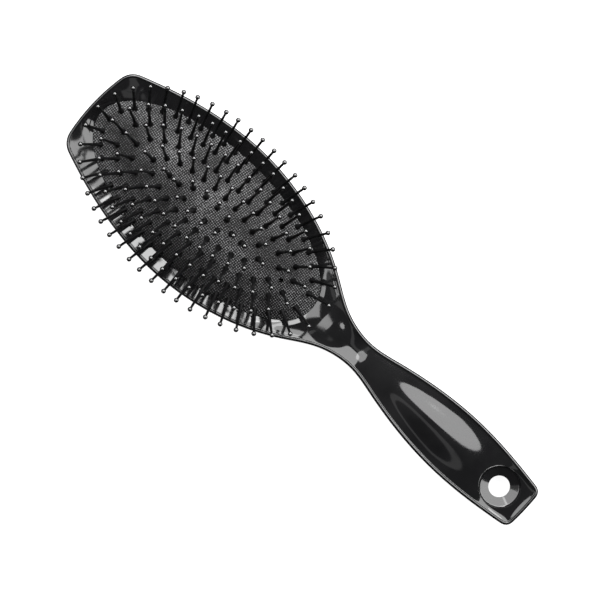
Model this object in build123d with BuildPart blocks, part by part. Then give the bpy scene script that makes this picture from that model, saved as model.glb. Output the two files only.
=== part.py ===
from build123d import *
import math
import os

# Paddle brush: two glossy shells, an air-cushioned rubber pad and five rings of ball-tipped pins.
# +X runs from the head to the handle, +Z out of the face. The brush lies on its back on z = 0,
# with the origin at the middle of its length. Millimetres.

# ---- driving dimensions ----
LENGTH = 250.0
WALL = 2.0

# plan outline, as half widths from the head's end to the handle's end
HEAD_CORNER = (-122.6, 20.6)
TAIL_CORNER = (124.6, 10.4)
SIDE_POINTS = [
    HEAD_CORNER,
    (-100.7, 28.0),
    (-80.5, 32.5),
    (-60.0, 34.3),
    (-33.3, 31.3),
    (-13.0, 24.8),
    (0.4, 17.9),
    (13.8, 10.1),
    (20.6, 7.8),
    (30.7, 6.75),
    (44.2, 9.1),
    (61.0, 12.3),
    (84.6, 14.2),
    (104.0, 13.2),
    TAIL_CORNER,
]
HEAD_CORNER_R = 9.0
TAIL_CORNER_R = 4.0

# heights
PARTING_Z = 8.0
LIP_WIDTH = 1.6

# sections every SECTION_STEP along X, from the head's end to past the handle's end
SECTION_START = -130.0
SECTION_STEP = 20.0
# back sections: half width, lowest z, half width of the flat bottom
BACK_SECTIONS = [
    (25.0, 5.4, 11.0),
    (31.5, 0.0, 15.0),
    (34.5, 0.0, 17.0),
    (36.3, 0.0, 18.0),
    (35.8, 0.0, 18.0),
    (33.0, 0.0, 16.0),
    (26.5, 0.2, 11.0),
    (15.5, 1.0, 6.0),
    (9.2, 2.0, 3.0),
    (12.0, 1.2, 3.0),
    (15.0, 0.3, 4.0),
    (16.0, 0.0, 4.0),
    (14.8, 0.9, 4.0),
    (12.5, 4.0, 4.0),
]
# face sections: half width, z at the edge, z at the crown
FACE_SECTIONS = [
    (37.0, 13.8, 14.5),
    (37.0, 13.8, 14.5),
    (37.0, 13.8, 14.5),
    (37.0, 13.8, 14.5),
    (37.0, 13.8, 14.5),
    (35.0, 13.8, 14.5),
    (28.0, 13.5, 14.5),
    (17.0, 12.4, 14.0),
    (10.0, 10.6, 13.2),
    (12.5, 9.8, 14.0),
    (15.2, 9.2, 14.9),
    (16.2, 9.0, 14.7),
    (15.0, 9.1, 13.1),
    (13.5, 9.3, 11.4),
]
FACE_STEP = 0.5
SKY_Z = 18.0

# dish round the pad: height and growth of the pad's ellipse at each station
PAD_X = -59.3
PAD_A = 60.8
PAD_B = 27.5
DISH_STATIONS = [(10.8, 0.0), (12.9, 2.6), (14.3, 5.6)]
DISH_LOW_Z = DISH_STATIONS[0][0]
LAND_W = 3.0

# rubber pad and the frame that clamps its flange
PAD_RISE = 11.5
PAD_T = 1.5
PAD_GAP = 0.15
FLANGE_T = 1.2
FLANGE_W = 2.6
FRAME_T = 2.2
FRAME_GAP = 0.25
SUPPORT_T = 1.6
VENT_R = 1.05
VENT_X = 43.2

# pins
PIN_FREE = 18.3
BALL_R = 1.05
SHAFT_BASE_R = 0.72
SHAFT_TIP_R = 0.5
COLLAR_R = 1.3
COLLAR_H = 0.5
COLLAR_TAPER = 0.5
COLLAR_GAP = 0.12
NECK_R = 0.62
NECK_HOLE_R = 0.74
FOOT_R = 1.15
FOOT_T = 0.6
FOOT_GAP = 0.8

# rings of pins: number, half axes, pairs of pins, gap between the last pair at the handle's end
# a ring with no gap closes there with one pin on the centreline
RINGS = [
    (1, 15.0, 3.8, 4, 0.0),
    (2, 30.0, 9.0, 10, 0.0),
    (3, 39.8, 15.0, 14, 6.7),
    (4, 47.6, 20.8, 18, 6.7),
    (5, 55.9, 25.8, 22, 8.0),
]
EXTRA_PIN_X = 20.5

# the outermost ring leans out past the crown's normal, most of all at the handle's end,
# and its pins stand a little off the rubber so that their collars clear it
OUTER_RING = 5
OUTER_LEAN_X = 1.4
OUTER_LEAN_GAIN = 0.6
OUTER_LEAN_Y = 1.08
OUTER_LIFT = 0.3

# hang hole, with a funnel on each face
HOLE_X = 110.6
HOLE_R = 4.5
EYELET_R = 6.6
FUNNEL_R = 8.4
FUNNEL_RISE = 1.6
HOLE_TOP_Z = 11.2
HOLE_BOTTOM_Z = 2.2

# locating pegs inside the handle
PEG_XS = [38.0, 62.0, 90.0]
PEG_R = 1.5
SOCKET_R = 2.7
PEG_GAP = 0.1
PEG_DEPTH = 3.0

os.makedirs("parts", exist_ok=True)


def save(piece, name):
    """Label a finished piece and write its STEP file."""
    piece.part.label = name
    export_step(piece.part, f"parts/{name}.step")


# ---- plan outline, shared by both shells ----
side_edge = Edge.make_spline([Vector(x, y) for x, y in SIDE_POINTS])


def corner_inside(corner, end_way, inset):
    """A corner of the outline moved inwards. end_way is 1 at the handle's end and -1 at the head's."""
    x, y = corner
    tangent = side_edge.tangent_at(0 if end_way < 0 else 1)
    return (x - end_way * inset, y - inset * (1 + end_way * tangent.Y) / tangent.X)


def plan(inset):
    """The outline of the brush seen from above, moved inwards by an inset."""
    head = corner_inside(HEAD_CORNER, -1, inset)
    tail = corner_inside(TAIL_CORNER, 1, inset)
    side = [head]
    for x, y in SIDE_POINTS[1:-1]:
        tangent = side_edge.tangent_at(side_edge.param_at_point((x, y)))
        side.append((x + inset * tangent.Y, y - inset * tangent.X))
    side.append(tail)
    with BuildSketch() as shape:
        with BuildLine():
            edge = Spline(*side)
            mirror(edge, about=Plane.XZ)
            ThreePointArc(head, (inset - LENGTH / 2, 0), (head[0], -head[1]))
            ThreePointArc(tail, (LENGTH / 2 - inset, 0), (tail[0], -tail[1]))
        make_face()
        fillet(shape.vertices().sort_by(Axis.X)[:2], HEAD_CORNER_R - inset)
        fillet(shape.vertices().sort_by(Axis.X)[-2:], TAIL_CORNER_R - inset)
    return shape.sketch


def rounded_back(wall):
    """The back's rounded form, lofted along X, made smaller all round by a wall thickness."""
    with BuildPart() as form:
        for number, (half, low, flat) in enumerate(BACK_SECTIONS):
            x = SECTION_START + number * SECTION_STEP
            with BuildSketch(Plane(origin=(x, 0, PARTING_Z), x_dir=(0, 1, 0), z_dir=(1, 0, 0))):
                depth = PARTING_Z - low - wall
                reach = half - wall
                flat_half = flat - wall / 2
                corner = reach - flat_half
                with BuildLine():
                    Line((reach, 0), (-reach, 0))
                    EllipticalCenterArc((-flat_half, 0), corner, depth, start_angle=180, arc_size=90)
                    Line((-flat_half, -depth), (flat_half, -depth))
                    EllipticalCenterArc((flat_half, 0), corner, depth, start_angle=270, arc_size=90)
                make_face()
        loft()
    return form.part


def crowned_face(drop):
    """The space under the crowned face, lofted along X and lowered by a drop."""
    with BuildPart() as form:
        for number, (half, edge_z, crown_z) in enumerate(FACE_SECTIONS):
            x = SECTION_START + number * SECTION_STEP
            with BuildSketch(Plane(origin=(x, 0, 0), x_dir=(0, 1, 0), z_dir=(1, 0, 0))):
                with BuildLine():
                    Line((-half, 0), (half, 0))
                    Line((half, 0), (half, edge_z - drop))
                    ThreePointArc((half, edge_z - drop), (0, crown_z - drop), (-half, edge_z - drop))
                    Line((-half, edge_z - drop), (-half, 0))
                make_face()
        loft()
    return form.part


def dish_air(drop, grow):
    """The open space of the dish round the pad, lowered by a drop and grown in plan."""
    with BuildPart() as air:
        for z, growth in DISH_STATIONS:
            with BuildSketch(Plane.XY.offset(z - drop)):
                with Locations((PAD_X, 0)):
                    Ellipse(PAD_A + growth + grow, PAD_B + growth + grow)
        loft()
        extrude(air.faces().sort_by(Axis.Z)[-1], amount=SKY_Z)
    return air.part


def pad_ring(inner, outer, low, high):
    """A flat-topped ring between two growths of the pad's ellipse."""
    with BuildPart() as ring:
        with BuildSketch(Plane.XY.offset(low)):
            with Locations((PAD_X, 0)):
                Ellipse(PAD_A + outer, PAD_B + outer)
                if inner is not None:
                    Ellipse(PAD_A + inner, PAD_B + inner, mode=Mode.SUBTRACT)
        extrude(amount=high - low)
    return ring.part


def dome(apex_z, base_z, half_x, half_y):
    """A solid paraboloid dome on an elliptical base."""
    with BuildPart() as form:
        with BuildSketch(Plane.XZ):
            with BuildLine():
                Line((0, base_z), (half_y, base_z))
                Bezier((half_y, base_z), (half_y / 2, apex_z), (0, apex_z))
                Line((0, apex_z), (0, base_z))
            make_face()
        revolve(axis=Axis.Z)
        scale(by=(half_x / half_y, 1, 1))
    return form.part.moved(Location((PAD_X, 0, 0)))


def upright(inset, low, high):
    """The brush's outline, moved inwards by an inset and extruded between two heights."""
    with BuildPart() as block:
        with BuildSketch(Plane.XY.offset(low)):
            add(plan(inset))
        extrude(amount=high - low)
    return block.part


def funnel(low_z, rise):
    """The conical recess at one mouth of the hang hole; a negative rise opens downwards."""
    with BuildPart() as cone:
        with BuildSketch(Plane.XY.offset(low_z)):
            with Locations((HOLE_X, 0)):
                Circle(HOLE_R)
        with BuildSketch(Plane.XY.offset(low_z + rise)):
            with Locations((HOLE_X, 0)):
                Circle(FUNNEL_R)
        loft()
    with BuildPart() as mouth:
        add(cone.part)
        with BuildSketch(Plane.XY.offset(low_z + rise)):
            with Locations((HOLE_X, 0)):
                Circle(FUNNEL_R)
        extrude(amount=math.copysign(PARTING_Z, rise))
    return mouth.part


peg_places = [(x, 0) for x in PEG_XS]
flange_top_z = DISH_LOW_Z - WALL
flange_low_z = flange_top_z - FLANGE_T
frame_low_z = flange_low_z - FRAME_T

# ---- front shell: the face, with its rim, dish, pad opening and half of the hang eyelet ----
with BuildPart() as face_recess:
    add(upright(LIP_WIDTH, PARTING_Z, SKY_Z))
    add(crowned_face(FACE_STEP), mode=Mode.SUBTRACT)

with BuildPart() as dish_recess:
    add(upright(LIP_WIDTH, PARTING_Z, SKY_Z))
    add(dish_air(0, 0), mode=Mode.INTERSECT)

with BuildPart() as front_cavity:
    add(upright(WALL, PARTING_Z, SKY_Z))
    add(crowned_face(FACE_STEP + WALL), mode=Mode.INTERSECT)
    add(dish_air(WALL, LAND_W), mode=Mode.SUBTRACT)
    with BuildSketch(Plane.XY.offset(PARTING_Z)):
        with Locations((HOLE_X, 0)):
            Circle(EYELET_R)
        with Locations(*peg_places):
            Circle(PEG_R)
    extrude(amount=SKY_Z - PARTING_Z, mode=Mode.SUBTRACT)

with BuildPart() as front_shell:
    add(upright(0, PARTING_Z, SKY_Z))
    add(crowned_face(0), mode=Mode.INTERSECT)
    add(face_recess.part, mode=Mode.SUBTRACT)
    add(dish_recess.part, mode=Mode.SUBTRACT)
    add(pad_ring(None, 0, PARTING_Z, DISH_LOW_Z + 1), mode=Mode.SUBTRACT)
    add(front_cavity.part, mode=Mode.SUBTRACT)
    with BuildSketch(Plane.XY.offset(PARTING_Z - PEG_DEPTH)):
        with Locations(*peg_places):
            Circle(PEG_R)
    extrude(amount=PEG_DEPTH + 1)
    with BuildSketch(Plane.XY.offset(PARTING_Z)):
        with Locations((HOLE_X, 0)):
            Circle(HOLE_R)
    extrude(amount=SKY_Z, mode=Mode.SUBTRACT)
    add(funnel(HOLE_TOP_Z, FUNNEL_RISE), mode=Mode.SUBTRACT)
save(front_shell, "front_shell")

# ---- back shell: the rounded back, with the wall that carries the pad frame ----
with BuildPart() as back_cavity:
    add(upright(WALL, 0, PARTING_Z))
    add(rounded_back(WALL), mode=Mode.INTERSECT)
    add(pad_ring(FRAME_GAP, FRAME_GAP + SUPPORT_T, 0, frame_low_z), mode=Mode.SUBTRACT)
    with BuildSketch():
        with Locations((HOLE_X, 0)):
            Circle(EYELET_R)
        with Locations(*peg_places):
            Circle(SOCKET_R)
    extrude(amount=PARTING_Z, mode=Mode.SUBTRACT)

with BuildPart() as back_shell:
    add(upright(0, 0, PARTING_Z))
    add(rounded_back(0), mode=Mode.INTERSECT)
    add(back_cavity.part, mode=Mode.SUBTRACT)
    with BuildSketch(Plane.XY.offset(PARTING_Z)):
        with Locations(*peg_places):
            Circle(PEG_R + PEG_GAP)
    extrude(amount=-(PEG_DEPTH + PEG_GAP), mode=Mode.SUBTRACT)
    with BuildSketch():
        with Locations((HOLE_X, 0)):
            Circle(HOLE_R)
    extrude(amount=PARTING_Z, mode=Mode.SUBTRACT)
    add(funnel(HOLE_BOTTOM_Z, -FUNNEL_RISE), mode=Mode.SUBTRACT)
save(back_shell, "back_shell")

# ---- pad frame: the stiff oval ring that clamps the pad's flange from behind ----
with BuildPart() as pad_frame:
    add(pad_ring(FRAME_GAP, FLANGE_W, frame_low_z, flange_low_z))
save(pad_frame, "pad_frame")

# ---- where the pins stand on the pad ----
pad_half_x = PAD_A - PAD_GAP
pad_half_y = PAD_B - PAD_GAP


def pin_place(x, y, outer=False):
    """A location on the pad's crown, its Z along the pin. x is from the pad's middle."""
    height = PAD_RISE * (1 - (x / pad_half_x) ** 2 - (y / pad_half_y) ** 2)
    slope_x = 2 * PAD_RISE * x / pad_half_x**2
    slope_y = 2 * PAD_RISE * y / pad_half_y**2
    lift = 0
    if outer:
        slope_x *= OUTER_LEAN_X + OUTER_LEAN_GAIN * x / pad_half_x
        slope_y *= OUTER_LEAN_Y
        lift = OUTER_LIFT
    stand = Plane(origin=(PAD_X + x, y, DISH_LOW_Z + height), z_dir=(slope_x, slope_y, 1))
    return stand.offset(lift).location


def ring_places(half_x, half_y, pairs, gap, outer):
    """Places of one ring's pins: right side, left side and centreline, evenly along its ellipse."""
    ellipse = Edge.make_ellipse(half_x, half_y)
    half_length = ellipse.length / 2
    spacing = (half_length - gap / 2) / pairs if gap else half_length / (pairs + 1)
    right = []
    left = []
    for number in range(1, pairs + 1):
        spot = ellipse.position_at(half_length - number * spacing, PositionMode.LENGTH)
        right.append(pin_place(spot.X, spot.Y, outer))
        left.append(pin_place(spot.X, -spot.Y, outer))
    centre = [pin_place(-half_x, 0, outer)]
    if not gap:
        centre.append(pin_place(half_x, 0, outer))
    return {"right": right, "left": left, "centre": centre}


rings = {}
for number, half_x, half_y, pairs, gap in RINGS:
    rings[number] = ring_places(half_x, half_y, pairs, gap, number == OUTER_RING)
rings[1]["centre"] += [pin_place(-EXTRA_PIN_X, 0), pin_place(EXTRA_PIN_X, 0)]
all_places = [place for ring in rings.values() for side in ring.values() for place in side]

# ---- rubber pad: a thin crowned skin with a flange, a hole for each pin and an air vent ----
rim_slope = math.atan(2 * PAD_RISE / pad_half_y)
end_slope = math.atan(2 * PAD_RISE / pad_half_x)
inner_base_z = DISH_LOW_Z - PAD_T * math.cos(rim_slope)
inner_half_y = pad_half_y - PAD_T * math.sin(rim_slope)
inner_half_x = pad_half_x - PAD_T * math.sin(end_slope)
crown_z = DISH_LOW_Z + PAD_RISE

with BuildPart() as pad_hollow:
    add(dome(crown_z - PAD_T, inner_base_z, inner_half_x, inner_half_y))
    with BuildSketch(Plane.XY.offset(flange_low_z)):
        with Locations((PAD_X, 0)):
            Ellipse(inner_half_x, inner_half_y)
    extrude(amount=inner_base_z - flange_low_z)

with BuildPart() as cushion_pad:
    add(dome(crown_z, DISH_LOW_Z, pad_half_x, pad_half_y))
    add(pad_ring(None, -PAD_GAP, flange_low_z, DISH_LOW_Z))
    add(pad_ring(None, FLANGE_W, flange_low_z, flange_top_z))
    add(pad_hollow.part, mode=Mode.SUBTRACT)
    with Locations(*all_places):
        Cylinder(NECK_HOLE_R, 4 * PAD_T, mode=Mode.SUBTRACT)
    with Locations(pin_place(VENT_X, 0)):
        Cylinder(VENT_R, 4 * PAD_T, mode=Mode.SUBTRACT)
save(cushion_pad, "cushion_pad")

# ---- pins: foot under the pad, neck through it, collar on it, tapered shaft and ball tip ----
foot_top = -(PAD_T + FOOT_GAP)
ball_z = PIN_FREE - BALL_R
shaft_end_z = ball_z - math.sqrt(BALL_R**2 - SHAFT_TIP_R**2)
collar_top = COLLAR_GAP + COLLAR_H

with BuildPart() as pin:
    with BuildSketch(Plane.XZ):
        with BuildLine():
            Polyline(
                (0, foot_top - FOOT_T),
                (FOOT_R, foot_top - FOOT_T),
                (FOOT_R, foot_top),
                (NECK_R, foot_top),
                (NECK_R, COLLAR_GAP),
                (COLLAR_R, COLLAR_GAP),
                (COLLAR_R, collar_top),
                (SHAFT_BASE_R, collar_top + COLLAR_TAPER),
                (SHAFT_TIP_R, shaft_end_z),
            )
            ThreePointArc((SHAFT_TIP_R, shaft_end_z), (BALL_R, ball_z), (0, PIN_FREE))
            Line((0, PIN_FREE), (0, foot_top - FOOT_T))
        make_face()
    revolve(axis=Axis.Z)

for number, ring in rings.items():
    for side, places in ring.items():
        with BuildPart() as pin_group:
            with Locations(*places):
                add(pin.part)
        save(pin_group, f"pins_ring{number}_{side}")
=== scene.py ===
import math
import random

import bmesh
import bpy
import numpy as np
from mathutils import Matrix, Vector


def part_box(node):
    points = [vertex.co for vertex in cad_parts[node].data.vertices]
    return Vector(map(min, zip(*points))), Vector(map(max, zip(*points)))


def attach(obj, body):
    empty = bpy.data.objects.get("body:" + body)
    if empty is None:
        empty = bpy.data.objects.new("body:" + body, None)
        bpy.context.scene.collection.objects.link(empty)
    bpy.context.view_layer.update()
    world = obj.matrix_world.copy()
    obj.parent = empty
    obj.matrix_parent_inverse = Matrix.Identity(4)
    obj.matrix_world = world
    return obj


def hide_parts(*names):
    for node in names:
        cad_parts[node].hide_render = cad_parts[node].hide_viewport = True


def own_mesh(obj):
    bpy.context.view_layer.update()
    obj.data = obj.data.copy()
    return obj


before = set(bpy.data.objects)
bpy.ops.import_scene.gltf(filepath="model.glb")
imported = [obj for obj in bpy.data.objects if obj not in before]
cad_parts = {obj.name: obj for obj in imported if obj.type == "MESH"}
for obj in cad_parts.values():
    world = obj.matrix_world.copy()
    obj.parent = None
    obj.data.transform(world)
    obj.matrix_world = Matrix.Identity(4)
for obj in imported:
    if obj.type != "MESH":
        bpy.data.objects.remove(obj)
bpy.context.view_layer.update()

# ---- back shell ----
# The rounded rear half of the hollow body and grip, injection moulded in black ABS and polished.
# It meets the front shell at a fine V seam, and the hang hole runs through a dished mouth at its tail.
MM = 0.001
shell_low, shell_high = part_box("back_shell")
half_length = 1000 * (shell_high.x - shell_low.x) / 2 - 0.01
seam_z = 1000 * shell_high.z
shell_wall = 2.0
# the plan outline's half widths, the bow of its two ends, and how far from a corner its rounding starts
side_stations = [
    (124.6, 10.4), (104.0, 13.2), (84.6, 14.2), (61.0, 12.3), (44.2, 9.1), (30.7, 6.75), (20.6, 7.8), (13.8, 10.1),
    (0.4, 17.9), (-13.0, 24.8), (-33.3, 31.3), (-60.0, 34.3), (-80.5, 32.5), (-100.7, 28.0), (-122.6, 20.6),
]
tail_bow, head_bow = 0.0037, 0.005656
tail_rounding, head_rounding = 3.5, 5.0
rib_spacing = 1.1
# the hang hole, which opens a little towards the back
hole_x, hole_radius, back_hole_radius = 110.6, 4.6, 5.5
mouth_radius, eyelet_radius = 9.0, 6.6
back_hole_z = 2.2
tail_start = 101.0
# the back's cross sections: place along the brush, half width, lowest height, half width of the flat bottom
back_stations = np.array([
    (-130, 25.0, 5.4, 11), (-110, 31.5, 0, 15), (-90, 34.5, 0, 17), (-70, 36.3, 0, 18), (-50, 35.8, 0, 18),
    (-30, 33.0, 0, 16), (-10, 26.5, 0.2, 11), (10, 15.5, 1.0, 6), (30, 9.2, 2.0, 3), (50, 12.0, 1.2, 3),
    (70, 15.0, 0.3, 4), (90, 16.0, 0, 4), (110, 14.8, 0.9, 4), (130, 12.5, 4.0, 4),
])


def fair(places, values, at):
    """A draughtsman's spline through stations, read off at the places asked for."""
    places, values, at = (np.asarray(a, float) for a in (places, values, at))
    step = np.diff(places)
    slope = np.diff(values) / step
    bend = np.zeros(len(places))
    stiffness = np.diag(2 * (step[:-1] + step[1:])) + np.diag(step[1:-1], 1) + np.diag(step[1:-1], -1)
    bend[1:-1] = np.linalg.solve(stiffness, 6 * np.diff(slope))
    n = np.clip(np.searchsorted(places, at) - 1, 0, len(step) - 1)
    t = at - places[n]
    start = slope[n] - step[n] * (2 * bend[n] + bend[n + 1]) / 6
    return values[n] + t * (start + t * (bend[n] / 2 + t * (bend[n + 1] - bend[n]) / (6 * step[n])))


def eased(value, low, high):
    """0 below low, 1 above high, and a smooth turn between."""
    t = np.clip((value - low) / (high - low), 0, 1)
    return t * t * (3 - 2 * t)


def along(line):
    """The running length at each point of a line."""
    return np.concatenate([[0], np.cumsum(np.hypot(*np.diff(line, axis=0).T))])


def rounded_join(first, second, reach):
    """Two lines that meet at a corner, joined by a smooth rounding that starts a reach before it."""
    first = first[along(first) < along(first)[-1] - reach]
    corner = second[0]
    second = second[along(second) > reach]
    t = np.linspace(0, 1, 14)[:, None]
    turn = (1 - t) ** 2 * first[-1] + 2 * t * (1 - t) * corner + t**2 * second[0]
    return np.vstack([first, turn[1:-1], second])


def half_outline():
    """The plan outline's half on the +Y side, evenly spaced from the tail's middle to the head's middle."""
    stations = np.array(side_stations)
    chord = along(stations)
    fine = np.linspace(0, chord[-1], 1200)
    side = np.column_stack([fair(chord, stations[:, 0], fine), fair(chord, stations[:, 1], fine)])
    tail_y = np.linspace(0, stations[0, 1], 60)
    tail = np.column_stack([half_length - tail_bow * tail_y**2, tail_y])
    head_y = np.linspace(stations[-1, 1], 0, 100)
    head = np.column_stack([head_bow * head_y**2 - half_length, head_y])
    line = rounded_join(rounded_join(tail, side, tail_rounding), head, head_rounding)
    run = along(line)
    even = np.linspace(0, run[-1], int(run[-1] / rib_spacing))
    return np.column_stack([np.interp(even, run, line[:, 0]), np.interp(even, run, line[:, 1])])


outline = half_outline()
heading = np.gradient(outline, axis=0)
heading[0], heading[-1] = (0, 1), (0, -1)
heading /= np.hypot(*heading.T)[:, None]
inward = np.column_stack([-heading[:, 1], heading[:, 0]])
tail_zone = outline[:, 0] > tail_start


def inset(depth):
    """The outline moved inwards."""
    moved = outline + depth * inward
    moved[[0, -1], 1] = 0
    return moved


def round_hole(radius):
    """Points round the hang hole, one for each tail rib, from the tail's end to the grip's side."""
    way = np.arctan2(outline[tail_zone, 1], outline[tail_zone, 0] - hole_x)
    turn = math.pi * way / way[-1]
    return np.column_stack([hole_x + radius * np.cos(turn), radius * np.sin(turn)])


def row(points, heights):
    """One row of mesh points, in metres."""
    return MM * np.column_stack([points, np.broadcast_to(heights, len(points))])


def drawn_half(rows):
    """A shell half drawn out row by row from its first edge, mirrored across the brush's middle and closed."""
    shell = bmesh.new()
    rib = shell.verts.layers.int.new("rib")
    for number, point in enumerate(rows[0]):
        shell.verts.new(point)[rib] = number
    shell.verts.ensure_lookup_table()
    edges = [shell.edges.new((shell.verts[n], shell.verts[n + 1])) for n in range(len(rows[0]) - 1)]
    for points in rows[1:]:
        grown = bmesh.ops.extrude_edge_only(shell, edges=edges)["geom"]
        fresh = {g for g in grown if isinstance(g, bmesh.types.BMVert)}
        edges = [g for g in grown if isinstance(g, bmesh.types.BMEdge) and set(g.verts) <= fresh]
        for vert in fresh:
            vert.co = points[vert[rib]]
    bmesh.ops.remove_doubles(shell, verts=shell.verts[:], dist=3e-6)
    middle = [f for f in shell.faces if all(abs(v.co.y) < 1e-7 for v in f.verts)]
    bmesh.ops.delete(shell, geom=middle, context="FACES")
    bmesh.ops.mirror(shell, geom=shell.verts[:] + shell.edges[:] + shell.faces[:], axis="Y", merge_dist=1e-6)
    bmesh.ops.remove_doubles(shell, verts=shell.verts[:], dist=2e-6)
    bmesh.ops.dissolve_degenerate(shell, dist=1e-6, edges=shell.edges[:])
    bmesh.ops.recalc_face_normals(shell, faces=shell.faces[:])
    return shell


def settle(shape, name, body, material, crease=45):
    """A finished mesh made into a piece: smooth faces, sharp creases, its material and its CAD body."""
    for face in shape.faces:
        face.smooth = True
    for edge in shape.edges:
        edge.smooth = len(edge.link_faces) == 2 and edge.calc_face_angle() < math.radians(crease)
    mesh = bpy.data.meshes.new(name)
    shape.to_mesh(mesh)
    shape.free()
    mesh.materials.append(material)
    piece = bpy.data.objects.new(name, mesh)
    bpy.context.scene.collection.objects.link(piece)
    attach(piece, body)
    return piece


class Finish:
    """A Principled finish whose pattern follows the piece."""

    def __init__(self, name, ior):
        self.material = bpy.data.materials.new(name)
        self.material.use_nodes = True
        self.nodes = self.material.node_tree.nodes
        self.links = self.material.node_tree.links
        self.skin = self.nodes["Principled BSDF"]
        self.skin.inputs["IOR"].default_value = ior
        self.place = self.nodes.new("ShaderNodeTexCoord").outputs["Object"]

    def put(self, kind, inputs, **settings):
        """A node with its settings and inputs. An input is a value or another node's output."""
        node = self.nodes.new(kind)
        for key, value in settings.items():
            setattr(node, key, value)
        for key, value in inputs.items():
            if isinstance(value, bpy.types.NodeSocket):
                self.links.new(value, node.inputs[key])
            else:
                node.inputs[key].default_value = value
        return node

    def mottle(self, scale, detail=3.0, stretch=(1, 1, 1), turn=0.0):
        """Seeded noise, as a value from 0 to 1."""
        spread = self.put("ShaderNodeMapping", {"Vector": self.place, "Scale": stretch, "Rotation": (0, 0, turn)})
        noise = self.put("ShaderNodeTexNoise", {"Vector": spread.outputs[0], "Scale": scale, "Detail": detail})
        return noise.outputs["Fac"]

    def between(self, value, low, high, start=0.35, end=0.65):
        """A pattern spread over a range of its own."""
        node = self.put(
            "ShaderNodeMapRange",
            {"Value": value, "From Min": start, "From Max": end, "To Min": low, "To Max": high},
        )
        return node.outputs["Result"]

    def tint(self, value, dark, light):
        """The base colour, from dark to light with a pattern."""
        ramp = self.put("ShaderNodeValToRGB", {"Fac": value})
        ramp.color_ramp.elements[0].color = (*dark, 1)
        ramp.color_ramp.elements[1].color = (*light, 1)
        self.links.new(ramp.outputs["Color"], self.skin.inputs["Base Color"])

    def relief(self, value, depth, strength, under=None):
        """Relief of a real depth in metres, laid over another."""
        inputs = {"Height": value, "Distance": depth, "Strength": strength}
        if under is not None:
            inputs["Normal"] = under
        return self.put("ShaderNodeBump", inputs).outputs["Normal"]


def polished_black():
    """Gloss black ABS with a faint flow mottle, hand smudges and hairline scratches along its length."""
    abs_black = Finish("polished_black_abs", 1.5)
    flow = abs_black.mottle(55, 4)
    abs_black.tint(abs_black.between(flow, 0, 1), (0.0026, 0.0026, 0.0028), (0.0048, 0.0048, 0.005))
    smudge = abs_black.between(abs_black.mottle(38, 6), 0.045, 0.11)
    hairline = abs_black.between(abs_black.mottle(260, 2, (0.05, 2.2, 2.2), 0.12), 0, 0.05, 0.64, 0.72)
    rough = abs_black.put("ShaderNodeMath", {0: smudge, 1: hairline}, operation="ADD")
    abs_black.links.new(rough.outputs[0], abs_black.skin.inputs["Roughness"])
    sink = abs_black.relief(abs_black.mottle(120, 2), 0.00004, 0.35)
    scratch = abs_black.relief(hairline, 0.00002, 0.3, sink)
    abs_black.links.new(scratch, abs_black.skin.inputs["Normal"])
    return abs_black.material


def back_height(points):
    """Height of the back's rounded outside under each plan point."""
    x = points[:, 0]
    half, low, flat = (fair(back_stations[:, 0], back_stations[:, n], x) for n in (1, 2, 3))
    side = np.clip((np.abs(points[:, 1]) - flat) / (half - flat), 0, 1)
    return np.maximum(seam_z - (seam_z - low) * np.sqrt(1 - side**2), 0)


def back_targets():
    """Where each back rib ends: round the hang hole at the tail, and on a line down the middle elsewhere."""
    spine = np.interp(
        outline[:, 0],
        (-125, -118, -100, -60, 0, 60, tail_start),
        (-104, -100, -90, -60, 0, 60, hole_x - mouth_radius),
    )
    mouth = np.column_stack([spine, 0 * spine])
    hole = mouth.copy()
    mouth[tail_zone], hole[tail_zone] = round_hole(mouth_radius), round_hole(back_hole_radius)
    mouth[0, 1] = hole[0, 1] = 0
    return mouth, hole


def back_rows():
    """The back shell's rows, from its seam round the outside to the hang hole and back along the inside."""
    mouth, hole = back_targets()
    mouth_z = back_height(mouth)
    edge = back_height(outline)
    # the flat of the seam, its bevel and the upright side
    rows = [row(inset(shell_wall), seam_z), row(inset(0.4), seam_z), row(inset(0.12), seam_z - 0.1)]
    rows += [row(outline, seam_z - 0.4), row(outline, (seam_z - 0.4 + edge + 1) / 2), row(outline, edge + 1.0)]
    # the eased edge, then the rounded outside
    for depth, rise in [(0.06, 0.62), (0.25, 0.3), (0.6, 0.08)]:
        rows.append(row(inset(depth), back_height(inset(depth)) + rise))
    brink = inset(1.2)
    for share in np.linspace(0, 1, 17):
        points = brink + (mouth - brink) * share
        rows.append(row(points, back_height(points)))
    # the hole's dished mouth, its bore and its eyelet
    for share in np.linspace(0, 1, 7)[1:]:
        points = mouth + (hole - mouth) * share
        dip = np.where(tail_zone, (back_hole_z - mouth_z) * share**1.4, 0)
        rows.append(row(points, mouth_z + dip))
    eyelet = mouth.copy()
    eyelet[tail_zone] = round_hole(eyelet_radius)
    eyelet[0, 1] = 0
    inside_z = mouth_z + shell_wall
    rows.append(row(hole, np.where(tail_zone, seam_z, inside_z)))
    rows.append(row(eyelet, np.where(tail_zone, seam_z, inside_z)))
    rows.append(row(eyelet, inside_z))
    # the inside, back to the seam
    deep = inset(shell_wall)
    for share in np.linspace(1, 0, 9):
        points = deep + (mouth - deep) * share
        rows.append(row(points, np.minimum(back_height(points) + shell_wall, seam_z - 0.5 * (share == 0))))
    rows.append(rows[0])
    return rows


gloss = polished_black()
back_shell = settle(drawn_half(back_rows()), "rounded_back_shell", "brush_body", gloss)
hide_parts("back_shell")

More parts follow.
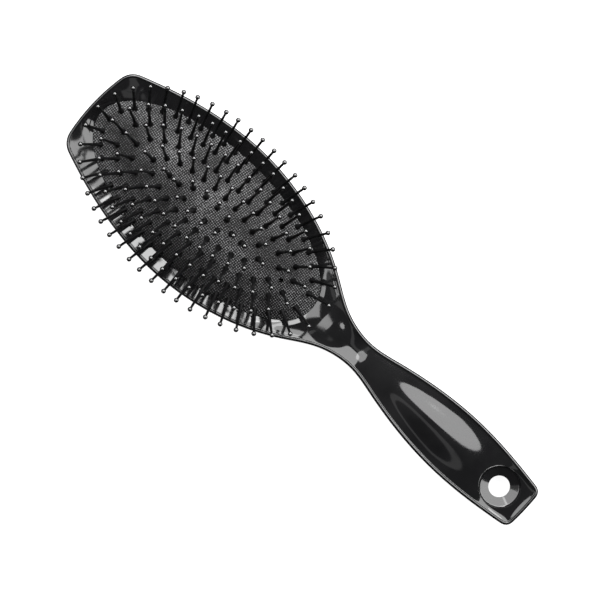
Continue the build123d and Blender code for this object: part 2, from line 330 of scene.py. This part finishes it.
# ---- pad frame ----
# A stiff oval ring of black ABS that presses the pad's flange up against the front shell from behind.
# It is hidden once the brush is closed, so it keeps its moulded, unpolished finish.
matt = Finish("moulded_frame_abs", 1.5)
matt.tint(matt.between(matt.mottle(90, 5), 0, 1), (0.018, 0.018, 0.018), (0.032, 0.032, 0.031))
matt.links.new(matt.between(matt.mottle(700, 3), 0.5, 0.7), matt.skin.inputs["Roughness"])
matt.links.new(matt.relief(matt.mottle(1500, 2), 0.00005, 0.5), matt.skin.inputs["Normal"])
pad_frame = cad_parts["pad_frame"]
pad_frame.data.materials.clear()
pad_frame.data.materials.append(matt.material)

# ---- cushion pad ----
# A thin crowned skin of black rubber over an air space, moulded with a fine woven emboss and one air vent.
# Its flange is clamped under the front shell's rim all round, so only the crown gives when the pins are pressed.
pad_low, pad_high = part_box("cushion_pad")
# how far the flange reaches past the crown's edge, and the gap between that edge and the shell's opening
flange_reach, pad_gap = 2.6, 0.15
# the crown's middle and its half axes along and across the brush
pad_x = 500 * (pad_low.x + pad_high.x)
pad_a = 500 * (pad_high.x - pad_low.x) - flange_reach - pad_gap
pad_b = 500 * (pad_high.y - pad_low.y) - flange_reach - pad_gap
pad_rim_z, pad_crown_z = 10.8, 1000 * pad_high.z
pad_skin = 1.5
vent_x, vent_radius = 43.2, 1.05


def crown_height(x, y):
    """Height of the pad's outside. x and y are from its middle."""
    return pad_rim_z + (pad_crown_z - pad_rim_z) * (1 - (x / pad_a) ** 2 - (y / pad_b) ** 2)


def spun(profile, steps):
    """A closed profile of (radius, height) turned once round the upright axis."""
    shape = bmesh.new()
    verts = [shape.verts.new((radius, 0, height)) for radius, height in profile]
    edges = [shape.edges.new(pair) for pair in zip(verts, verts[1:])]
    bmesh.ops.spin(
        shape, geom=verts + edges, cent=(0, 0, 0), axis=(0, 0, 1), angle=2 * math.pi, steps=steps, use_merge=True
    )
    bmesh.ops.remove_doubles(shape, verts=shape.verts[:], dist=1e-5)
    return shape


def woven_rubber():
    """Matt black rubber with a woven emboss; its base colour has painted highlight on the raised threads and painted
    shade in the hollows, varied in random patches.
    """
    rubber = Finish("embossed_rubber", 1.47)
    warp = rubber.put("ShaderNodeMapping", {"Vector": rubber.place, "Rotation": (0, 0, 0.2)}).outputs[0]
    threads = [
        rubber.put(
            "ShaderNodeTexWave",
            {"Vector": warp, "Scale": 340.0, "Distortion": 0.9, "Detail": 1.0, "Detail Scale": 1.5},
            wave_type="BANDS",
            bands_direction=way,
        ).outputs["Fac"]
        for way in ("X", "Y")
    ]
    knots = rubber.put("ShaderNodeMath", {0: threads[0], 1: threads[1]}, operation="MULTIPLY").outputs[0]
    pebble = rubber.mottle(1500, 3)
    grain = rubber.between(pebble, 0, 0.6)
    weave = rubber.put("ShaderNodeMath", {0: knots, 1: grain}, operation="ADD").outputs[0]
    patches = rubber.between(rubber.mottle(45, 4), 0.55, 1.1)
    weave_light_and_shade = rubber.put("ShaderNodeMath", {0: weave, 1: patches}, operation="MULTIPLY").outputs[0]
    # painted light and shade: the base colour is paler on the weave's raised threads and darker in its hollows,
    # lighter or dimmer in random patches
    rubber.tint(rubber.between(weave_light_and_shade, 0, 1, 0.4, 1.2), (0.0006, 0.0006, 0.0007), (0.15, 0.15, 0.153))
    rubber.links.new(rubber.between(rubber.mottle(60, 3), 0.46, 0.62), rubber.skin.inputs["Roughness"])
    rubber.skin.inputs["Specular IOR Level"].default_value = 0.22
    rubber.links.new(rubber.relief(weave, 0.0003, 1.0), rubber.skin.inputs["Normal"])
    return rubber.material


def crowned_skin():
    """The pad's crown and skirt as one round skin, from the middle of its outside to the middle of its inside."""
    reach = np.sin(np.linspace(0, math.pi / 2, 64))
    profile = [(pad_b * r, pad_rim_z + (pad_crown_z - pad_rim_z) * (1 - r * r)) for r in reach]
    inside = pad_b - pad_skin
    profile += [(pad_b, pad_rim_z - 0.5), (pad_b - 0.2, pad_rim_z - 0.7), (inside, pad_rim_z - 0.7)]
    under = pad_crown_z - pad_skin - pad_rim_z
    profile += [(inside * r, pad_rim_z + under * (1 - r * r)) for r in reach[::-3]]
    return spun([(MM * r, MM * z) for r, z in profile if r > 0.01], 220)


def oval(shape):
    """Stretches a round form to the pad's oval: the crown by proportion, what lies beyond its edge by distance."""
    for vert in shape.verts:
        radius = math.hypot(vert.co.x, vert.co.y)
        if radius > 1e-9:
            share = min(radius, MM * pad_b) * 1000 / pad_b
            past = max(radius - MM * pad_b, 0)
            cos, sin = vert.co.x / radius, vert.co.y / radius
            vert.co.x = MM * pad_x + (MM * pad_a * share + past) * cos
            vert.co.y = (MM * pad_b * share + past) * sin
        else:
            vert.co.x = MM * pad_x


rubber_finish = woven_rubber()
skin = crowned_skin()
oval(skin)
bmesh.ops.holes_fill(skin, edges=[e for e in skin.edges if e.is_boundary], sides=0)
bmesh.ops.recalc_face_normals(skin, faces=skin.faces[:])
cushion = settle(skin, "cushion_pad_crown", "brush_body", rubber_finish, 60)
slope = math.atan(2 * (pad_crown_z - pad_rim_z) * vent_x / pad_a**2)
vent_place = Matrix.Translation((MM * (pad_x + vent_x), 0, MM * crown_height(vent_x, 0)))
punch = bmesh.new()
bmesh.ops.create_cone(
    punch, cap_ends=True, segments=28, radius1=MM * vent_radius, radius2=MM * vent_radius, depth=0.008,
    matrix=vent_place @ Matrix.Rotation(slope, 4, "Y"),
)
punch_mesh = bpy.data.meshes.new("vent_punch")
punch.to_mesh(punch_mesh)
punch.free()
vent_punch = bpy.data.objects.new("vent_punch", punch_mesh)
bpy.context.scene.collection.objects.link(vent_punch)
cut = cushion.modifiers.new("vent", "BOOLEAN")
cut.object, cut.operation, cut.solver = vent_punch, "DIFFERENCE", "EXACT"
bpy.context.view_layer.update()
pierced = bpy.data.meshes.new_from_object(cushion.evaluated_get(bpy.context.evaluated_depsgraph_get()))
cushion.modifiers.clear()
cushion.data = pierced
bpy.data.objects.remove(vent_punch)
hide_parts("cushion_pad")
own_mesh(cushion)

flange_profile = [
    (pad_b - pad_skin, 7.6), (pad_b + flange_reach, 7.6), (pad_b + flange_reach, 8.8), (pad_b - 0.1, 8.8),
    (pad_b - 0.1, 9.9), (pad_b - pad_skin, 9.9), (pad_b - pad_skin, 7.6),
]
flange = spun([(MM * r, MM * z) for r, z in flange_profile], 160)
oval(flange)
bmesh.ops.recalc_face_normals(flange, faces=flange.faces[:])
pad_flange = settle(flange, "cushion_pad_flange", "brush_body", rubber_finish)

# ---- pins ----
# Ball-tipped pins of black nylon, each pushed through the pad from behind until its collar sits on the rubber.
# They stand square to the crown in five oval rings, the outermost splayed further; no two lean quite alike.
# rings: number, half axes, pairs of pins, and the gap that some leave at the grip's end
rings = [
    (1, 15.0, 3.8, 4, 0), (2, 30.0, 9.0, 10, 0), (3, 39.8, 15.0, 14, 6.7), (4, 47.6, 20.8, 18, 6.7),
    (5, 55.9, 25.8, 22, 8.0),
]
extra_pin_x = 20.5
# the outermost ring's splay against the crown's slope, along and across the brush, and its collars' lift
splay_x, splay_x_gain, splay_y, splay_lift = 1.4, 0.6, 1.08, 0.3
# the most that a pin stands askew, in degrees
askew = 1.6
pin_free, ball_radius = 18.27, 1.05
chance = random.Random(11)


def nylon(name, roughness, shine):
    """Black nylon with faint flow lines, rubbed smoother in places."""
    satin = Finish(name, 1.53)
    satin.tint(satin.between(satin.mottle(240, 3), 0, 1), (0.0012, 0.0012, 0.0013), (0.0032, 0.0032, 0.0034))
    satin.links.new(satin.between(satin.mottle(420, 2), *roughness), satin.skin.inputs["Roughness"])
    satin.skin.inputs["Specular IOR Level"].default_value = shine
    satin.links.new(satin.relief(satin.mottle(900, 2), 0.00003, 0.3), satin.skin.inputs["Normal"])
    return satin.material


def one_pin():
    """A pin standing on the origin: foot under the rubber, collar on it, tapered shaft and ball."""
    ball_z = pin_free - ball_radius
    foot = [(0, -2.3), (1.15, -2.3), (1.15, -1.8), (0.62, -1.75), (0.62, 0.1)]
    collar = [(1.3, 0.12), (1.26, 0.5), (0.74, 1.05)]
    ball = [(ball_radius * math.cos(t), ball_z + ball_radius * math.sin(t)) for t in np.radians([-32, 0, 30, 58, 90])]
    profile = foot + collar + [(0.5, ball_z - 0.92)] + ball
    pin = spun([(MM * r, MM * z) for r, z in profile], 10)
    bmesh.ops.recalc_face_normals(pin, faces=pin.faces[:])
    for face in pin.faces:
        face.material_index = int(face.calc_center_median().z > MM * (ball_z - 1))
    mesh = bpy.data.meshes.new("one_pin")
    pin.to_mesh(mesh)
    pin.free()
    return mesh


def planted(ring, pin, x, y, outermost):
    """Plants a pin on the crown at a point from the pad's middle, square to the rubber but for its lean."""
    rise = pad_crown_z - pad_rim_z
    slope_x, slope_y, lift = 2 * rise * x / pad_a**2, 2 * rise * y / pad_b**2, 0
    if outermost:
        slope_x *= splay_x + splay_x_gain * x / pad_a
        slope_y *= splay_y
        lift = splay_lift
    normal = Vector((slope_x, slope_y, 1)).normalized()
    lean = math.radians(chance.uniform(0, askew))
    way = chance.uniform(-math.pi, math.pi)
    if outermost:
        way = math.atan2(-y, -x) + chance.uniform(-1, 1)
    normal = (normal + math.sin(lean) * Vector((math.cos(way), math.sin(way), 0))).normalized()
    turn = normal.to_track_quat("Z", "X").to_matrix().to_4x4() @ Matrix.Rotation(chance.uniform(0, 1), 4, "Z")
    base = Vector((MM * (pad_x + x), MM * y, MM * crown_height(x, y))) + MM * lift * normal
    before = len(ring.verts)
    ring.from_mesh(pin)
    ring.verts.ensure_lookup_table()
    bmesh.ops.transform(ring, matrix=Matrix.Translation(base) @ turn, verts=ring.verts[before:])


pin_mesh = one_pin()
shaft_finish = nylon("satin_black_shaft", (0.38, 0.52), 0.08)
ball_finish = nylon("polished_black_ball", (0.06, 0.12), 0.75)
for number, half_x, half_y, pairs, gap in rings:
    turn = np.linspace(0, math.pi, 2000)
    ellipse = np.column_stack([-half_x * np.cos(turn), half_y * np.sin(turn)])
    run = along(ellipse)
    spacing = (run[-1] - gap / 2) / pairs if gap else run[-1] / (pairs + 1)
    stops = spacing * np.arange(1, pairs + 1)
    places = list(zip(np.interp(stops, run, ellipse[:, 0]), np.interp(stops, run, ellipse[:, 1])))
    middle = [(-half_x, 0)]
    if not gap:
        middle.append((half_x, 0))
    if number == 1:
        middle += [(-extra_pin_x, 0), (extra_pin_x, 0)]
    for side, spots in [("right", places), ("left", [(x, -y) for x, y in places]), ("centre", middle)]:
        ring = bmesh.new()
        for x, y in spots:
            planted(ring, pin_mesh, x, y, number == 5)
        piece = settle(ring, f"ball_pins_ring{number}_{side}", f"pin_ring{number}", shaft_finish, 50)
        piece.data.materials.append(ball_finish)
        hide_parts(f"pins_ring{number}_{side}")

# ---- front shell ----
# The face of the brush in the same polished ABS: a raised lip all round, the dish that holds the pad, a hollowed
# neck, the swell of the grip and the dished mouth of the hang hole. It snaps onto the back shell over three pegs.
# how far the dish slopes out from the pad's opening, the lip's width and its step down to the face
dish_reach, lip_width, lip_step = 5.6, 1.7, 0.56
face_wall = 1.8
# where the neck starts, and the height of the mouth's floor at the hang hole
neck_start, mouth_floor_z = 7.6, 8.8
# the lip's height along the brush, and its rounding: depth in from the side, and drop below its crest
lip_stations = np.array([
    (-130, 13.7), (-90, 13.9), (-50, 13.9), (-15, 13.7), (5, 13.2), (20, 12.4), (32, 11.9), (46, 11.3), (64, 10.9),
    (84, 10.9), (100, 11.3), (113, 11.8), (130, 12.0),
])
lip_rounding = [
    (0.09, 0.68), (0.3, 0.36), (0.55, 0.15), (0.8, 0.04), (0.98, 0.03), (1.15, 0.1), (1.32, 0.24), (1.48, 0.45),
    (1.6, 0.54),
]
# how far the face's middle stands above its edge, how evenly it rounds, and how deep it dips beside the lip
crown_stations = np.array([
    (-60, 0), (0, -1.1), (7, -1.0), (10, -0.35), (13, 0.3), (15.5, 0.5), (17.5, 0.3), (20, -0.3), (23, -1.1),
    (26, -1.35), (28, -1.3), (33, 0.2), (40, 0.25), (100, 0.25), (104, 0.1), (108, -0.5), (125, -0.8),
])
round_stations = np.array([(7, 2.0), (20, 2.0), (24, 1.35), (31.6, 1.35), (34, 2.0), (130, 2.0)])
dip_stations = np.array([(-5, 0.0), (5, 0.15), (9, 0.2), (16, 0.2), (21, 0.15), (24, 0.0)])
# the grip's swell: how high it rises, and its half width
swell_rise = np.array([
    (44, 0), (49, 0.12), (53, 0.6), (60, 1.6), (66, 2.15), (73, 2.35), (80, 2.1), (86, 1.45), (91, 0.75), (98, 0),
])
swell_half = np.array([
    (44, 3), (47, 3.5), (52, 5), (58.5, 6.6), (66, 8), (72, 8.9), (79.5, 9.7), (86, 9.5), (93, 8.4), (98, 7),
])


def front_targets():
    """Where each front rib crosses the rim of the dish or the hole's mouth, and where it ends."""
    x, y = outline.T
    head_zone = x < neck_start
    grip_zone = ~head_zone & ~tail_zone
    rim, end = np.zeros_like(outline), np.zeros_like(outline)
    rim[tail_zone], end[tail_zone] = round_hole(mouth_radius), round_hole(hole_radius)
    share = (x[grip_zone] - neck_start) / (tail_start - neck_start)
    dish_end, mouth_start = pad_x + pad_a + pad_gap + dish_reach, hole_x - mouth_radius
    rim[grip_zone, 0] = end[grip_zone, 0] = dish_end + share * (mouth_start - dish_end)
    # each head rib meets the opening at its own bearing, and those by the neck are drawn in to the dish's end
    way = np.degrees(np.arctan2(y / pad_b, (x - pad_x) / pad_a))[head_zone]
    turn = np.radians(way - way[0] * (1 - eased(way, way[0], 80)))
    opening = np.column_stack([pad_x + (pad_a + pad_gap) * np.cos(turn), (pad_b + pad_gap) * np.sin(turn)])
    foot = inset(lip_width)[head_zone]
    span = np.hypot(*(foot - opening).T)
    # the slope leaves a flat beside the lip, and runs nearly up to it at the shoulders
    reach = np.minimum(dish_reach, 0.55 * span)
    shoulder = eased(x[head_zone], -14, 4)
    reach = reach * (1 - shoulder) + np.minimum(dish_reach, 0.9 * span) * shoulder
    rim[head_zone] = opening + (foot - opening) * (reach / span)[:, None]
    end[head_zone] = opening
    rim[[0, -1], 1] = end[[0, -1], 1] = 0
    rim[grip_zone, 1] = end[grip_zone, 1] = 0
    return head_zone, rim, end


def face_height(points, foot_z, t):
    """Height of the face at a share t of the way back from its middle (0) to the foot of the lip (1)."""
    x = points[:, 0]
    crown = np.interp(x, *crown_stations.T)
    power = np.interp(x, *round_stations.T)
    dip = np.interp(x, *dip_stations.T)
    off = np.clip(np.abs(points[:, 1]) / np.interp(x, *swell_half.T), 0, 1)
    swell = np.interp(x, *swell_rise.T) * (1 - off**2) ** 1.6
    return foot_z + crown * (1 - t**power) + swell - dip * 4 * t**2 * (1 - t**2)


def front_rows():
    """The front shell's rows, from its seam over the lip and face to the opening and back along the inside."""
    head_zone, rim, end = front_targets()
    lip = fair(*lip_stations.T, outline[:, 0])
    # the flat of the seam, its bevel, the upright side and the rounded lip
    rows = [row(inset(shell_wall), seam_z), row(inset(0.4), seam_z), row(inset(0.12), seam_z + 0.1)]
    rows += [row(outline, seam_z + 0.4), row(outline, (seam_z + lip - 0.8) / 2), row(outline, lip - 1.15)]
    for depth, drop in lip_rounding:
        rows.append(row(inset(depth), lip - drop))
    foot = inset(lip_width)
    foot_z = lip - lip_step
    shoulder = np.where(head_zone, eased(outline[:, 0], -12, 6), 1.0)
    opening_z = np.where(head_zone, pad_rim_z, mouth_floor_z)
    straight = np.hypot(*(rim - end).T) / np.maximum(np.hypot(*(foot - end).T), 1e-6)

    def face(points, share):
        """Height of the face a share of the way in from the lip: a crown, or the dish's even slope."""
        crowned = face_height(points, foot_z, 1 - share)
        sloped = foot_z + (opening_z - foot_z) * (1 - straight) * share
        return np.where(head_zone, shoulder * crowned + (1 - shoulder) * sloped, crowned)

    for share in np.linspace(0, 1, 14):
        points = foot + (rim - foot) * share
        rows.append(row(points, face(points, share)))
    # down to the pad's opening, or over the mouth's steep edge and down its bowl to the hang hole
    rim_z = rows[-1][:, 2] / MM
    for share in (0.15, 0.2, 0.3, 0.45, 0.6, 0.75, 0.9, 1.0):
        bowl = np.where(head_zone, share, np.interp(share, (0, 0.15, 1), (0, 0.45, 1)))
        drop = np.where(head_zone | tail_zone, (opening_z - rim_z) * bowl, 0)
        rows.append(row(rim + (end - rim) * share, rim_z + drop))
    # the bore and its eyelet, then the inside back to the seam
    outer_z = np.where(head_zone | tail_zone, opening_z, rim_z)
    eyelet = end.copy()
    eyelet[tail_zone] = round_hole(eyelet_radius)
    eyelet[0, 1] = 0
    under = np.where(tail_zone, seam_z, outer_z - face_wall)
    rows.append(row(end, under))
    rows.append(row(eyelet, under))
    rows.append(row(eyelet, outer_z - face_wall))
    rows.append(row(rim, rim_z - face_wall))
    deep = inset(shell_wall + 0.3)
    for share in (0.7, 0.35, 0.0):
        points = deep + (rim - deep) * share
        rows.append(row(points, face(points, share) - face_wall))
    rows.append(rows[0])
    return rows


front_shell = settle(drawn_half(front_rows()), "lipped_front_shell", "brush_body", gloss)
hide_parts("front_shell")

# ---- studio ----
# The brush lies on its back on a plain white sweep. A wide softbox stands beside it, brighter in its lower
# half, with a second one beyond the head and a weak fill on the far side.
# the camera's height over the middle of the brush's thickness, and the width that it takes in there
view_distance, view_width, view_plane = 0.85, 0.2526, 0.012
camera_data = bpy.data.cameras.new("overhead_camera")
camera_data.sensor_width = 36
camera_data.lens = camera_data.sensor_width * view_distance / view_width
camera = bpy.data.objects.new("overhead_camera", camera_data)
camera.location = (-0.0047, -0.0005, view_plane + view_distance)
camera.rotation_euler = (0, 0, math.radians(43.35))
bpy.context.scene.collection.objects.link(camera)
bpy.context.scene.camera = camera


def softbox(name, way, tilt, distance, width, height, watts):
    """A soft rectangular light aimed at the brush. way is its bearing and tilt its angle from overhead."""
    light = bpy.data.lights.new(name, "AREA")
    light.shape, light.size, light.size_y, light.energy = "RECTANGLE", width, height, watts
    lamp = bpy.data.objects.new(name, light)
    out = Vector((math.sin(tilt) * math.cos(way), math.sin(tilt) * math.sin(way), math.cos(tilt)))
    lamp.location = distance * out
    lamp.rotation_euler = out.to_track_quat("Z", "Y").to_euler()
    bpy.context.scene.collection.objects.link(lamp)


softbox("key_softbox_high", math.radians(90), math.radians(30), 1.0, 2.0, 0.65, 29)
softbox("key_softbox_low", math.radians(90), math.radians(56), 1.1, 2.4, 0.39, 43)
softbox("head_softbox", math.radians(180), math.radians(34), 1.2, 1.6, 0.83, 25)
softbox("fill_softbox", math.radians(-90), math.radians(18), 1.5, 1.2, 0.3, 0.7)

sweep = bpy.data.materials.new("white_sweep")
sweep.use_nodes = True
paper = sweep.node_tree.nodes["Principled BSDF"]
paper.inputs["Base Color"].default_value = (0.15, 0.15, 0.15, 1)
paper.inputs["Roughness"].default_value = 0.9
paper.inputs["Emission Color"].default_value = (1, 1, 1, 1)
paper.inputs["Emission Strength"].default_value = 0.95
floor_shape = bmesh.new()
bmesh.ops.create_grid(floor_shape, x_segments=2, y_segments=2, size=3)
floor_mesh = bpy.data.meshes.new("white_sweep")
floor_shape.to_mesh(floor_mesh)
floor_shape.free()
floor_mesh.materials.append(sweep)
floor = bpy.data.objects.new("white_sweep", floor_mesh)
floor.location = (0, 0, -0.0002)
floor.visible_glossy = False
bpy.context.scene.collection.objects.link(floor)

world = bpy.data.worlds.new("dim_studio")
world.use_nodes = True
world.node_tree.nodes["Background"].inputs["Color"].default_value = (1, 1, 1, 1)
world.node_tree.nodes["Background"].inputs["Strength"].default_value = 0.04
bpy.context.scene.world = world
bpy.context.scene.view_settings.view_transform = "Standard"
